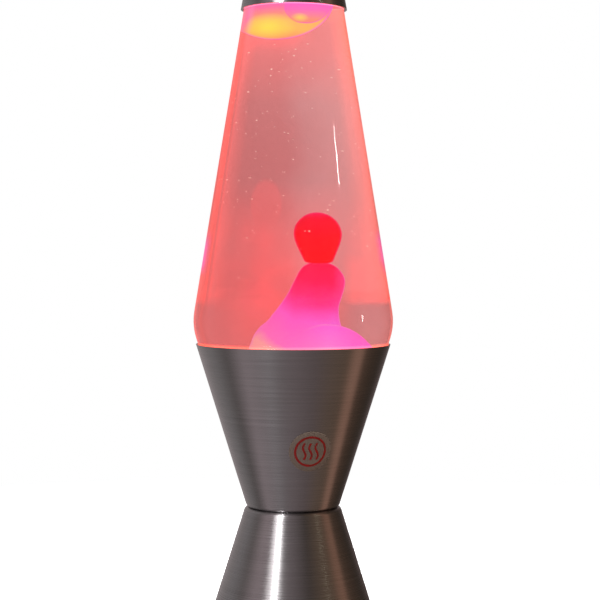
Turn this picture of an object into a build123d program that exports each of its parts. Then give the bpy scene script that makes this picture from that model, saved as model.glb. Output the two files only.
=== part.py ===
"""A classic 17 inch lava lamp, in millimetres, +Z up, the origin at the centre of the base's resting plane.

From the bottom up: two spun aluminium cones riveted together at the waist, a lamp holder on a strap inside the
lower one, a screw-in bulb, a tapered glass globe of liquid and wax that stands in the upper one, and a spun cap.
"""

import os
from math import atan, cos, hypot, radians, sin

from build123d import *

os.makedirs("parts", exist_ok=True)

# ---------------------------------------------------------------- driving dimensions
OVERALL_HEIGHT = 432.0

# the two spun cones of the base
SHEET = 0.8  # aluminium sheet
RIM_Z = 4.0  # underside of the lower cone's turned-in edge, where the bottom cover sits
RIM_R = 57.5
RIM_INNER_R = 51.5
RIM_CORNER_R = 2.0
WAIST_Z = 98.0  # where the two cones' flanges meet
LOWER_WAIST_R = 27.9
UPPER_WAIST_R = 26.95
CUP_Z = 193.0  # the upper cone's rim
CUP_R = 56.7
SHOULDER_R = 2.8
FLANGE_HOLE_R = 19.2

# rivets through both flanges, two of them through the strap's ears as well
RIVET_CIRCLE_R = 22.0
RIVET_SHANK_R = 1.2
RIVET_HEAD_R = 1.8
RIVET_HEAD_H = 0.8
RIVET_HOLE_R = 1.25

# the strap that carries the lamp holder
STRAP_T = 1.2
STRAP_W = 14.0
STRAP_LEG_X = 18.5  # inner face of each leg
STRAP_EAR_X = 24.4
STRAP_FLOOR_Z = 14.0

# the lamp holder, for an intermediate screw base
NIPPLE_R = 4.85
NIPPLE_BORE_R = 3.2
NIPPLE_BOTTOM_Z = 2.4
NUT_FLATS = 15.9
NUT_H = 3.2
WASHER_R = 8.0
WASHER_T = 0.8
HOLDER_Z = STRAP_FLOOR_Z + STRAP_T + WASHER_T
HOLDER_H = 31.5
HOLDER_R = 13.5
HOLDER_FOOT_R = 11.0
HOLDER_FLOOR_Z = HOLDER_Z + 9.0
HOLDER_CAVITY_R = 9.6
SHELL_R = 9.3  # brass screw shell in the holder
SHELL_BORE_R = 8.65
SHELL_Z = HOLDER_FLOOR_Z + 1.5
SHELL_T = 0.6

# the bulb: S11 shape on an intermediate base
BULB_TIP_Z = 28.0
BULB_LENGTH = 59.0
BULB_R = 17.45
BULB_NECK_R = 7.6
BULB_GLASS_T = 0.7
THREAD_PITCH = 2.822
THREAD_R = 8.32
THREAD_ROOT_R = 7.65
THREAD_TURNS = 5
BULB_SHELL_Z = BULB_TIP_Z + 4.5
BULB_COLLAR_Z = BULB_SHELL_Z + THREAD_TURNS * THREAD_PITCH

# the bottom cover, dished up in the middle round its nut, and its feet
COVER_R = 55.6
COVER_Z = 2.0
COVER_T = 2.0
COVER_DISH_R = 15.0
COVER_DISH_Z = 6.2
FOOT_R = 6.0
FOOT_CIRCLE_R = 43.0
FOOT_TURN = 45.0

# the cord's rubber grommet, square to the wall at the back
GROMMET_Z = 18.0
GROMMET_HOLE_R = 5.0
GROMMET_LIP_R = 6.8
GROMMET_LIP_T = 1.5
GROMMET_GROOVE_OUT = 0.42  # from the middle of the wall to the outer lip
GROMMET_GROOVE_IN = 0.9  # more on the inside, because the wall curves away
CORD_SLOT_W = 6.2
CORD_SLOT_H = 3.2

# the globe
GLASS_T = 3.0
GLOBE_BOTTOM_Z = 99.75
GLOBE_CUP_GAP = 0.42  # between the glass and the cup's rim, level
GLOBE_WIDEST_R = 59.0  # where the lines of the two tapers would meet
GLOBE_WIDEST_Z = 204.2
GLOBE_BEND_R = 34.0
GLOBE_TOP_Z = 392.0
GLOBE_TOP_R = 28.2
NECK_R = 12.5
NECK_Z = 412.0
FINISH_R = 13.3  # the bead that the crown cap grips
FINISH_Z = 418.5
MOUTH_Z = 424.0
MOUTH_R = 8.5
PUNT_H = 2.0  # the bottom's push-up
LIQUID_TOP_Z = 406.0

# the wax: a column that stands on a pool, a blob over it, and a mass with a second blob at the top
POOL_Z = 152.0
MOUND_Z = 190.0
MOUND_R = 24.0
MOUND_X = 7.5
COLUMN_R = 11.4
COLUMN_X = 11.4
COLUMN_TOP_Z = 240.2
LOBE_R = 24.0
LOBE_CENTRE = (17.0, -14.0, 181.0)
BLOB_X = 10.7
BLOB_R = 10.9
BLOB_Z = 258.6  # centre of its round head
BLOB_NECK_R = 6.7
BLOB_BOTTOM_Z = 240.7
TOP_MASS_R = 24.0
TOP_MASS_CENTRE = (-9.0, 5.0, 392.0)
TOP_BLOB_R = 11.5
TOP_BLOB_CENTRE = (5.0, -8.0, 387.5)

# the wire coil in the bottom of the globe
COIL_R = 17.0
COIL_PITCH = 3.2
COIL_TURNS = 3
COIL_WIRE_R = 0.8
COIL_Z = 108.0

# the crown cap on the globe's mouth
CROWN_T = 0.3
CROWN_R = 15.6
CROWN_TOP_R = 14.0
CROWN_SKIRT_Z = 419.0
LINER_T = 0.9

# the lift-off cap
CAP_Z = 387.0
CAP_R = 30.8
CAP_TOP_R = 22.4
CAP_CORNER_R = 4.0
CAP_LIP = 0.55  # the turned-in edge that rests on the glass

# the round label on the cup
LABEL_R = 12.4
LABEL_T = 0.2
LABEL_Z = 134.6
LABEL_TURN = 15.0  # degrees round from the front, towards +X


def wall_width(slope):
    """Level width of a wall of SHEET thickness that leans by slope, in radius per height."""
    return SHEET * hypot(1, slope)


LOWER_SLOPE = (RIM_R - LOWER_WAIST_R) / (WAIST_Z - RIM_Z)
UPPER_SLOPE = (CUP_R - UPPER_WAIST_R) / (CUP_Z - WAIST_Z)


# ---------------------------------------------------------------- base: cones, rivets, strap
GROMMET_WALL_R = RIM_R - LOWER_SLOPE * (GROMMET_Z - RIM_Z) - wall_width(LOWER_SLOPE) / 2
LEAN = atan(LOWER_SLOPE)
GROMMET_PLANE = Plane(
    origin=(0, GROMMET_WALL_R, GROMMET_Z), x_dir=(1, 0, 0), z_dir=(0, cos(LEAN), sin(LEAN))
)

with BuildPart() as lower_cone:
    with BuildSketch(Plane.XZ):
        with BuildLine():
            outside = FilletPolyline(
                (RIM_INNER_R, RIM_Z), (RIM_R, RIM_Z), (LOWER_WAIST_R, WAIST_Z), (FLANGE_HOLE_R, WAIST_Z),
                radius=(RIM_CORNER_R, SHOULDER_R),
            )
            inner_rim_r = RIM_R - wall_width(LOWER_SLOPE) - SHEET * LOWER_SLOPE
            inner_waist_r = LOWER_WAIST_R - wall_width(LOWER_SLOPE) + SHEET * LOWER_SLOPE
            inside = FilletPolyline(
                (RIM_INNER_R, RIM_Z + SHEET), (inner_rim_r, RIM_Z + SHEET),
                (inner_waist_r, WAIST_Z - SHEET), (FLANGE_HOLE_R, WAIST_Z - SHEET),
                radius=(RIM_CORNER_R - SHEET, SHOULDER_R - SHEET),
            )
            Line(outside @ 0, inside @ 0)
            Line(outside @ 1, inside @ 1)
        make_face()
    revolve(axis=Axis.Z)
    with BuildSketch(GROMMET_PLANE):
        Circle(GROMMET_HOLE_R)
    extrude(amount=4 * SHEET, both=True, mode=Mode.SUBTRACT)
    with BuildSketch(Plane.XY.offset(WAIST_Z)):
        with PolarLocations(RIVET_CIRCLE_R, 4):
            Circle(RIVET_HOLE_R)
    extrude(amount=-2 * SHEET, mode=Mode.SUBTRACT)

with BuildPart() as upper_cone:
    with BuildSketch(Plane.XZ):
        with BuildLine():
            outside = FilletPolyline(
                (CUP_R, CUP_Z), (UPPER_WAIST_R, WAIST_Z), (FLANGE_HOLE_R, WAIST_Z), radius=SHOULDER_R
            )
            inside = FilletPolyline(
                (CUP_R - wall_width(UPPER_SLOPE), CUP_Z),
                (UPPER_WAIST_R - wall_width(UPPER_SLOPE) + SHEET * UPPER_SLOPE, WAIST_Z + SHEET),
                (FLANGE_HOLE_R, WAIST_Z + SHEET),
                radius=SHOULDER_R - SHEET,
            )
            Line(outside @ 0, inside @ 0)
            Line(outside @ 1, inside @ 1)
        make_face()
    revolve(axis=Axis.Z)
    with BuildSketch(Plane.XY.offset(WAIST_Z)):
        with PolarLocations(RIVET_CIRCLE_R, 4):
            Circle(RIVET_HOLE_R)
    extrude(amount=2 * SHEET, mode=Mode.SUBTRACT)

# two rivets on the X axis go through the strap's ears too, so they are longer
with BuildPart() as waist_rivets:
    for number, location in enumerate(PolarLocations(RIVET_CIRCLE_R, 4)):
        through_ear = STRAP_T if number % 2 == 0 else 0
        grip_top = WAIST_Z + SHEET
        grip_bottom = WAIST_Z - SHEET - through_ear
        with BuildSketch(Plane.XY.offset(grip_bottom)):
            with Locations(location):
                Circle(RIVET_SHANK_R)
        extrude(amount=grip_top - grip_bottom)
        for plane, direction in ((Plane.XY.offset(grip_top), 1), (Plane.XY.offset(grip_bottom), -1)):
            with BuildSketch(plane):
                with Locations(location):
                    Circle(RIVET_HEAD_R)
            extrude(amount=direction * RIVET_HEAD_H, taper=25)

EAR_Z = WAIST_Z - SHEET  # top face of the strap's ears
with BuildPart() as socket_bracket:
    with BuildSketch(Plane.XZ) as strap:
        leg_out = STRAP_LEG_X + STRAP_T
        with BuildLine():
            Polyline(
                (0, STRAP_FLOOR_Z), (leg_out, STRAP_FLOOR_Z), (leg_out, EAR_Z - STRAP_T),
                (STRAP_EAR_X, EAR_Z - STRAP_T), (STRAP_EAR_X, EAR_Z), (STRAP_LEG_X, EAR_Z),
                (STRAP_LEG_X, STRAP_FLOOR_Z + STRAP_T), (0, STRAP_FLOOR_Z + STRAP_T),
            )
            mirror(about=Plane.YZ)
        make_face()
        bends = strap.vertices().filter_by(lambda v: 1 < abs(v.X) < STRAP_EAR_X - 1)
        fillet(bends, radius=STRAP_T / 3)
    extrude(amount=STRAP_W / 2, both=True)
    with BuildSketch(Plane.XY.offset(STRAP_FLOOR_Z)):
        Circle(NIPPLE_R + 0.1)
    extrude(amount=STRAP_T, mode=Mode.SUBTRACT)
    with BuildSketch(Plane.XY.offset(EAR_Z)):
        with PolarLocations(RIVET_CIRCLE_R, 2):
            Circle(RIVET_HOLE_R)
    extrude(amount=-STRAP_T, mode=Mode.SUBTRACT)


# ---------------------------------------------------------------- base: lamp holder
with BuildPart() as lamp_nipple:
    with BuildSketch(Plane.XY.offset(NIPPLE_BOTTOM_Z)):
        Circle(NIPPLE_R)
        Circle(NIPPLE_BORE_R, mode=Mode.SUBTRACT)
    extrude(amount=HOLDER_Z + 6.5 - NIPPLE_BOTTOM_Z)
    chamfer(lamp_nipple.edges().filter_by(GeomType.CIRCLE).group_by(SortBy.RADIUS)[-1], length=0.5)

# one nut under the strap, one in the dish of the bottom cover
with BuildPart() as nipple_nuts:
    for nut_top_z in (STRAP_FLOOR_Z, COVER_DISH_Z):
        with BuildSketch(Plane.XY.offset(nut_top_z - NUT_H)):
            RegularPolygon(radius=NUT_FLATS / 2, side_count=6, major_radius=False)
            Circle(NIPPLE_R, mode=Mode.SUBTRACT)
        extrude(amount=NUT_H)

with BuildPart() as lock_washer:
    with BuildSketch(Plane.XY.offset(STRAP_FLOOR_Z + STRAP_T)):
        Circle(WASHER_R)
        Circle(NIPPLE_R, mode=Mode.SUBTRACT)
    extrude(amount=WASHER_T)

TERMINAL_Z = HOLDER_Z + 4.2
TERMINAL_HEAD_R = 3.0
TERMINAL_HEAD_H = 1.8
TERMINAL_SHANK_R = 1.6
TERMINAL_SEAT_Y = 9.6  # flat on each side of the holder's foot, under the terminal's head
with BuildPart() as socket_body:
    with BuildSketch(Plane.XZ):
        with BuildLine():
            Polyline(
                (NIPPLE_R, HOLDER_Z), (HOLDER_FOOT_R, HOLDER_Z), (HOLDER_FOOT_R, HOLDER_Z + 8),
                (HOLDER_R, HOLDER_Z + 11), (HOLDER_R, HOLDER_Z + HOLDER_H),
                (HOLDER_CAVITY_R, HOLDER_Z + HOLDER_H), (HOLDER_CAVITY_R, SHELL_Z),
                (7.5, SHELL_Z), (7.5, HOLDER_FLOOR_Z), (NIPPLE_R, HOLDER_FLOOR_Z),
                close=True,
            )
        make_face()
    revolve(axis=Axis.Z)
    top_rim = socket_body.edges().filter_by(GeomType.CIRCLE).group_by(Axis.Z)[-1]
    fillet(top_rim.sort_by(SortBy.RADIUS)[-1], radius=1.2)
    # flats and holes for the two terminal screws
    for side in (1, -1):
        with BuildSketch(Plane.XY.offset(HOLDER_Z)):
            with Locations((0, side * (TERMINAL_SEAT_Y + 5))):
                Rectangle(2 * HOLDER_R, 10)
        extrude(amount=8, mode=Mode.SUBTRACT)
    with BuildSketch(Plane.XZ):
        with Locations((0, TERMINAL_Z)):
            Circle(TERMINAL_SHANK_R)
    extrude(amount=HOLDER_R, both=True, mode=Mode.SUBTRACT)

with BuildPart() as socket_terminal_screws:
    for side in (1, -1):
        with BuildSketch(Plane.XZ.offset(side * (NIPPLE_R + 1.0))):
            with Locations((0, TERMINAL_Z)):
                Circle(TERMINAL_SHANK_R)
        extrude(amount=side * (TERMINAL_SEAT_Y - NIPPLE_R - 1.0))
        with BuildSketch(Plane.XZ.offset(side * TERMINAL_SEAT_Y)):
            with Locations((0, TERMINAL_Z)):
                Circle(TERMINAL_HEAD_R)
        extrude(amount=side * TERMINAL_HEAD_H)
        with BuildSketch(Plane.XZ.offset(side * (TERMINAL_SEAT_Y + TERMINAL_HEAD_H))):
            with Locations((0, TERMINAL_Z)):
                Rectangle(2 * TERMINAL_HEAD_R, 1.0)
        extrude(amount=-side * 0.9, mode=Mode.SUBTRACT)

with BuildPart() as socket_screw_shell:
    with BuildSketch(Plane.XZ):
        with BuildLine():
            Polyline(
                (7.5, SHELL_Z), (SHELL_R, SHELL_Z), (SHELL_R, HOLDER_Z + HOLDER_H - 1.5),
                (SHELL_BORE_R, HOLDER_Z + HOLDER_H - 1.5), (SHELL_BORE_R, SHELL_Z + SHELL_T),
                (7.5, SHELL_Z + SHELL_T), close=True,
            )
        make_face()
    revolve(axis=Axis.Z)

# the leaf starts flat on the holder's floor and springs up under the bulb's tip
LEAF_T = 0.6
LEAF_W = 4.0
LEAF_TOP_Z = BULB_TIP_Z - 0.3
with BuildPart() as socket_contact:
    with BuildSketch(Plane.XZ) as leaf:
        with BuildLine():
            Polyline(
                (5.4, HOLDER_FLOOR_Z), (7.1, HOLDER_FLOOR_Z), (7.1, HOLDER_FLOOR_Z + LEAF_T),
                (5.8, HOLDER_FLOOR_Z + LEAF_T), (3.0, LEAF_TOP_Z), (-3.0, LEAF_TOP_Z),
                (-3.0, LEAF_TOP_Z - LEAF_T), (2.65, LEAF_TOP_Z - LEAF_T), close=True,
            )
        make_face()
    extrude(amount=LEAF_W / 2, both=True)


# ---------------------------------------------------------------- base: cover, feet, grommet, label
with BuildPart() as bottom_cover:
    with BuildSketch(Plane.XZ):
        with BuildLine():
            Polyline(
                (NIPPLE_R + 0.2, COVER_DISH_Z), (COVER_DISH_R, COVER_DISH_Z), (COVER_DISH_R, COVER_Z),
                (COVER_R, COVER_Z), (COVER_R, COVER_Z + COVER_T), (COVER_DISH_R + COVER_T, COVER_Z + COVER_T),
                (COVER_DISH_R + COVER_T, COVER_DISH_Z + COVER_T), (NIPPLE_R + 0.2, COVER_DISH_Z + COVER_T),
                close=True,
            )
        make_face()
    revolve(axis=Axis.Z)
    chamfer(bottom_cover.edges().filter_by(GeomType.CIRCLE).group_by(Axis.Z)[0].sort_by(SortBy.RADIUS)[-1], 0.6)
    # two rings of vents, clear of the feet
    with BuildSketch(Plane.XY.offset(COVER_Z)):
        for vent in range(12):
            middle = vent * 30 + 15
            if abs((middle - FOOT_TURN) % 90) > 1:
                SlotArc(CenterArc((0, 0), 43, middle - 8, 16, mode=Mode.PRIVATE), 5.0)
            SlotArc(CenterArc((0, 0), 28, middle - 9, 18, mode=Mode.PRIVATE), 5.0)
    extrude(amount=COVER_T, mode=Mode.SUBTRACT)

with BuildPart() as rubber_feet:
    with BuildSketch(Plane.XY.offset(COVER_Z)):
        with PolarLocations(FOOT_CIRCLE_R, 4, start_angle=FOOT_TURN):
            Circle(FOOT_R)
    extrude(amount=-COVER_Z, taper=8)

with BuildPart() as cord_grommet:
    with BuildSketch(GROMMET_PLANE):
        Circle(GROMMET_HOLE_R)
    extrude(amount=GROMMET_GROOVE_OUT)
    with BuildSketch(GROMMET_PLANE):
        Circle(GROMMET_HOLE_R)
    extrude(amount=-GROMMET_GROOVE_IN)
    with BuildSketch(GROMMET_PLANE.offset(GROMMET_GROOVE_OUT)):
        Circle(GROMMET_LIP_R)
    extrude(amount=GROMMET_LIP_T, taper=25)
    with BuildSketch(GROMMET_PLANE.offset(-GROMMET_GROOVE_IN)):
        Circle(GROMMET_LIP_R)
    extrude(amount=-GROMMET_LIP_T, taper=25)
    with BuildSketch(GROMMET_PLANE):
        SlotOverall(CORD_SLOT_W, CORD_SLOT_H)
    extrude(amount=3 * GROMMET_LIP_T, both=True, mode=Mode.SUBTRACT)

LABEL_WALL_R = UPPER_WAIST_R + UPPER_SLOPE * (LABEL_Z - WAIST_Z)
LABEL_OUT = Vector(sin(radians(LABEL_TURN)), -cos(radians(LABEL_TURN)), -UPPER_SLOPE)
LABEL_PLANE = Plane(
    origin=(LABEL_WALL_R * LABEL_OUT.X, LABEL_WALL_R * LABEL_OUT.Y, LABEL_Z),
    x_dir=(cos(radians(LABEL_TURN)), sin(radians(LABEL_TURN)), 0),
    z_dir=LABEL_OUT,
)
with BuildPart() as care_label:
    with BuildSketch(Plane.XZ):
        near, far = LABEL_Z - 1.2 * LABEL_R, LABEL_Z + 1.2 * LABEL_R
        near_r = UPPER_WAIST_R + UPPER_SLOPE * (near - WAIST_Z)
        far_r = UPPER_WAIST_R + UPPER_SLOPE * (far - WAIST_Z)
        with BuildLine():
            Polyline(
                (near_r, near), (near_r + LABEL_T, near), (far_r + LABEL_T, far), (far_r, far), close=True
            )
        make_face()
    revolve(axis=Axis.Z)
    with BuildSketch(LABEL_PLANE):
        Circle(LABEL_R)
    extrude(amount=LABEL_R, both=True, mode=Mode.INTERSECT)


# ---------------------------------------------------------------- bulb
BULB_TOP_Z = BULB_TIP_Z + BULB_LENGTH
BULB_HEAD_Z = BULB_TOP_Z - BULB_R
BULB_NECK_Z = BULB_COLLAR_Z + 4.5

with BuildPart() as bulb_tip_contact:
    with BuildSketch(Plane.XY.offset(BULB_TIP_Z)):
        Circle(3.0)
    extrude(amount=1.5)
    fillet(bulb_tip_contact.faces().sort_by(Axis.Z)[0].edges(), radius=1.0)

with BuildPart() as bulb_insulator:
    with BuildSketch(Plane.XZ):
        with BuildLine():
            Polyline(
                (0, BULB_TIP_Z + 1.5), (4.0, BULB_TIP_Z + 1.5), (6.4, BULB_SHELL_Z - 0.6),
                (6.4, BULB_SHELL_Z + 1.2), (0, BULB_SHELL_Z + 1.2), close=True,
            )
        make_face()
    revolve(axis=Axis.Z)

# the rolled thread stands as ridges one pitch apart round a plain sleeve
with BuildPart() as bulb_screw_shell:
    with BuildSketch(Plane.XZ):
        with BuildLine():
            Polyline(
                (6.4, BULB_SHELL_Z - 0.6), (THREAD_ROOT_R, BULB_SHELL_Z + 0.6), (THREAD_ROOT_R, BULB_COLLAR_Z),
                (THREAD_R, BULB_COLLAR_Z + 0.8), (THREAD_R, BULB_COLLAR_Z + 4.0),
                (BULB_NECK_R, BULB_COLLAR_Z + 4.0), (BULB_NECK_R, BULB_COLLAR_Z),
                (THREAD_ROOT_R - 0.5, BULB_COLLAR_Z - 0.5), (THREAD_ROOT_R - 0.5, BULB_SHELL_Z + 1.2),
                (6.4, BULB_SHELL_Z + 1.2), close=True,
            )
        make_face()
        for ridge in range(THREAD_TURNS - 1):
            with Locations((THREAD_R - 0.8, BULB_SHELL_Z + (ridge + 0.9) * THREAD_PITCH)):
                Circle(0.8)
    revolve(axis=Axis.Z)

with BuildPart() as bulb_envelope:
    with BuildSketch(Plane.XZ):
        with BuildLine():
            crown = CenterArc((0, BULB_HEAD_Z), BULB_R, 0, 90)
            neck_line = Line((BULB_NECK_R, BULB_COLLAR_Z), (BULB_NECK_R, BULB_NECK_Z))
            Spline(
                neck_line @ 1, crown @ 0,
                tangents=((0, 1), (0, 1)), tangent_scalars=(0.8, 1.0),
            )
            inner_crown = CenterArc((0, BULB_HEAD_Z), BULB_R - BULB_GLASS_T, 0, 90)
            inner_r = BULB_NECK_R - BULB_GLASS_T
            inner_neck = Line((inner_r, BULB_COLLAR_Z), (inner_r, BULB_NECK_Z))
            Spline(
                inner_neck @ 1, inner_crown @ 0,
                tangents=((0, 1), (0, 1)), tangent_scalars=(0.8, 1.0),
            )
            Line(neck_line @ 0, inner_neck @ 0)
            Line(crown @ 1, inner_crown @ 1)
        make_face()
    revolve(axis=Axis.Z)

STEM_Z = BULB_COLLAR_Z
STEM_TOP_Z = BULB_HEAD_Z - 12
with BuildPart() as bulb_stem:
    with BuildSketch(Plane.XZ):
        with BuildLine():
            Polyline(
                (0, STEM_Z), (BULB_NECK_R - BULB_GLASS_T, STEM_Z), (BULB_NECK_R - BULB_GLASS_T, STEM_Z + 1.0),
                (3.2, STEM_Z + 4.0), (2.2, STEM_Z + 6.5), (1.9, STEM_TOP_Z), (0, STEM_TOP_Z), close=True,
            )
        make_face()
    revolve(axis=Axis.Z)

FILAMENT_Z = BULB_HEAD_Z - 2
LEAD_X = 6.5
LEAD_R = 0.3
with BuildPart() as bulb_lead_wires:
    for side in (1, -1):
        with BuildLine():
            lead = FilletPolyline(
                (side * 2.6, 0, STEM_TOP_Z - 1.0), (side * 3.4, 0, STEM_TOP_Z + 3.0),
                (side * LEAD_X, 0, FILAMENT_Z + 1.0), radius=3.0,
            )
        with BuildSketch(Plane(origin=lead @ 0, z_dir=lead % 0)):
            Circle(LEAD_R)
        sweep(path=lead)

FILAMENT_R = 0.45
with BuildPart() as bulb_filament:
    with BuildSketch(Plane.YZ.offset(-LEAD_X + 0.9)):
        with Locations((0, FILAMENT_Z)):
            Circle(FILAMENT_R)
    extrude(amount=2 * (LEAD_X - 0.9))


# ---------------------------------------------------------------- globe: glass
GLOBE_CUP_R = CUP_R - wall_width(UPPER_SLOPE) - GLOBE_CUP_GAP
GLASS_SIDE_LOW = (GLOBE_CUP_R - UPPER_SLOPE * (CUP_Z - GLOBE_BOTTOM_Z), GLOBE_BOTTOM_Z)


def side_shift(slope):
    """How far a leaning side moves level when the glass is entered by GLASS_T."""
    return GLASS_T * hypot(1, slope)


TOP_SLOPE = (GLOBE_WIDEST_R - GLOBE_TOP_R) / (GLOBE_TOP_Z - GLOBE_WIDEST_Z)

with BuildPart() as cavity:
    with BuildSketch(Plane.XZ):
        with BuildLine():
            floor_z = GLOBE_BOTTOM_Z + GLASS_T + PUNT_H
            bore = FilletPolyline(
                (0, floor_z),
                (GLASS_SIDE_LOW[0] + UPPER_SLOPE * (floor_z - GLOBE_BOTTOM_Z) - side_shift(UPPER_SLOPE), floor_z),
                (GLOBE_WIDEST_R - side_shift(UPPER_SLOPE), GLOBE_WIDEST_Z),
                (GLOBE_TOP_R - side_shift(TOP_SLOPE), GLOBE_TOP_Z),
                (MOUTH_R, NECK_Z - 2), (MOUTH_R, MOUTH_Z),
                radius=(6, GLOBE_BEND_R - GLASS_T, 9, 5),
            )
            Line(bore @ 1, (0, MOUTH_Z))
            Line((0, MOUTH_Z), (0, floor_z))
        make_face()
    revolve(axis=Axis.Z)

with BuildPart() as globe_glass:
    with BuildSketch(Plane.XZ):
        with BuildLine():
            skin = FilletPolyline(
                (GLASS_SIDE_LOW[0] - 7, GLOBE_BOTTOM_Z), GLASS_SIDE_LOW, (GLOBE_WIDEST_R, GLOBE_WIDEST_Z),
                (GLOBE_TOP_R, GLOBE_TOP_Z), (NECK_R, NECK_Z - 3), (NECK_R, FINISH_Z - 0.8),
                radius=(4.5, GLOBE_BEND_R, 12, 6),
            )
            finish = Polyline(
                skin @ 1, (FINISH_R, FINISH_Z), (FINISH_R, MOUTH_Z - 1.5), (FINISH_R - 1.5, MOUTH_Z), (0, MOUTH_Z)
            )
            punt = ThreePointArc(
                (0, GLOBE_BOTTOM_Z + PUNT_H), (skin.start_point().X / 2, GLOBE_BOTTOM_Z + PUNT_H * 0.75),
                skin @ 0,
            )
            Line(finish @ 1, punt @ 0)
        make_face()
    revolve(axis=Axis.Z)
    add(cavity.part, mode=Mode.SUBTRACT)


# ---------------------------------------------------------------- globe: wax and liquid
def cylinder_part(radius, bottom_z, top_z):
    """A round block on the axis, for cutting by height."""
    return Pos(0, 0, (bottom_z + top_z) / 2) * Cylinder(radius, top_z - bottom_z, mode=Mode.PRIVATE)


COLUMN_HEAD_Z = COLUMN_TOP_Z - COLUMN_R
with BuildPart() as wax_column:
    add(cavity.part & cylinder_part(RIM_R, 0, POOL_Z))
    pool_r = 30.0
    with BuildSketch(Plane.XY.offset(POOL_Z - 5)):
        Circle(pool_r)
    with BuildSketch(Plane.XY.offset(MOUND_Z)):
        with Locations((MOUND_X, 0)):
            Circle(MOUND_R)
    with BuildSketch(Plane.XY.offset(MOUND_Z + 22)):
        with Locations((COLUMN_X - 1.0, 0)):
            Circle(COLUMN_R + 1.5)
    with BuildSketch(Plane.XY.offset(COLUMN_HEAD_Z)):
        with Locations((COLUMN_X, 0)):
            Circle(COLUMN_R)
    loft()
    with Locations((COLUMN_X, 0, COLUMN_HEAD_Z)):
        Sphere(COLUMN_R)
    with Locations(LOBE_CENTRE):
        Sphere(LOBE_R)

with BuildPart() as wax_blob:
    with BuildSketch(Plane.XZ):
        with BuildLine():
            head = CenterArc((0, BLOB_Z), BLOB_R, 90, -110)
            waist = Line(head @ 1, (BLOB_NECK_R, BLOB_BOTTOM_Z + 4))
            neck = Line(waist @ 1, (BLOB_NECK_R, BLOB_BOTTOM_Z))
            Line(neck @ 1, (0, BLOB_BOTTOM_Z))
            Line((0, BLOB_BOTTOM_Z), head @ 0)
        make_face()
    revolve(axis=Axis.Z)
wax_blob.part = Pos(BLOB_X, 0, 0) * wax_blob.part

with BuildPart() as wax_top_blob:
    with Locations(TOP_BLOB_CENTRE):
        Sphere(TOP_BLOB_R)

with BuildPart() as wax_top_mass:
    with Locations(TOP_MASS_CENTRE):
        Sphere(TOP_MASS_R)
    add(cavity.part & cylinder_part(RIM_R, 0, LIQUID_TOP_Z), mode=Mode.INTERSECT)
    with Locations(TOP_BLOB_CENTRE):
        Sphere(TOP_BLOB_R, mode=Mode.SUBTRACT)

with BuildPart() as globe_liquid:
    add(cavity.part & cylinder_part(RIM_R, 0, LIQUID_TOP_Z))
    for wax in (wax_column, wax_blob, wax_top_blob, wax_top_mass):
        add(wax.part, mode=Mode.SUBTRACT)

with BuildPart() as heat_coil:
    with BuildLine(Plane.XY.offset(COIL_Z)):
        turns = Helix(pitch=COIL_PITCH, height=COIL_PITCH * COIL_TURNS, radius=COIL_R)
    with BuildSketch(Plane(origin=turns @ 0, z_dir=turns % 0)):
        Circle(COIL_WIRE_R)
    sweep(path=turns, is_frenet=True)


# ---------------------------------------------------------------- globe: crown cap and its liner
CROWN_TOP_Z = MOUTH_Z + LINER_T + CROWN_T
with BuildPart() as crown_liner:
    with BuildSketch(Plane.XY.offset(MOUTH_Z)):
        Circle(FINISH_R - 1.0)
    extrude(amount=LINER_T)

with BuildPart() as crown_cap:
    with BuildSketch(Plane.XZ):
        with BuildLine():
            top = FilletPolyline(
                (0, CROWN_TOP_Z), (CROWN_TOP_R, CROWN_TOP_Z), (CROWN_R + 0.6, CROWN_SKIRT_Z), radius=1.8
            )
            under = FilletPolyline(
                (0, CROWN_TOP_Z - CROWN_T), (CROWN_TOP_R - CROWN_T, CROWN_TOP_Z - CROWN_T),
                (CROWN_R + 0.6 - CROWN_T, CROWN_SKIRT_Z), radius=1.5,
            )
            Line(top @ 0, under @ 0)
            Line(top @ 1, under @ 1)
        make_face()
    revolve(axis=Axis.Z)


# ---------------------------------------------------------------- the lift-off cap
CAP_SLOPE = (CAP_R - CAP_TOP_R) / (OVERALL_HEIGHT - CAP_Z)
with BuildPart() as top_cap:
    with BuildSketch(Plane.XZ):
        with BuildLine():
            outside = FilletPolyline(
                (0, OVERALL_HEIGHT), (CAP_TOP_R, OVERALL_HEIGHT), (CAP_R, CAP_Z), radius=CAP_CORNER_R
            )
            inside = FilletPolyline(
                (0, OVERALL_HEIGHT - SHEET),
                (CAP_TOP_R - wall_width(CAP_SLOPE) + SHEET * CAP_SLOPE, OVERALL_HEIGHT - SHEET),
                (CAP_R - wall_width(CAP_SLOPE) - CAP_SLOPE, CAP_Z + 1.0),
                radius=CAP_CORNER_R - SHEET,
            )
            Polyline(outside @ 1, (CAP_R - SHEET - CAP_LIP, CAP_Z), inside @ 1)
            Line(outside @ 0, inside @ 0)
        make_face()
    revolve(axis=Axis.Z)


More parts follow.
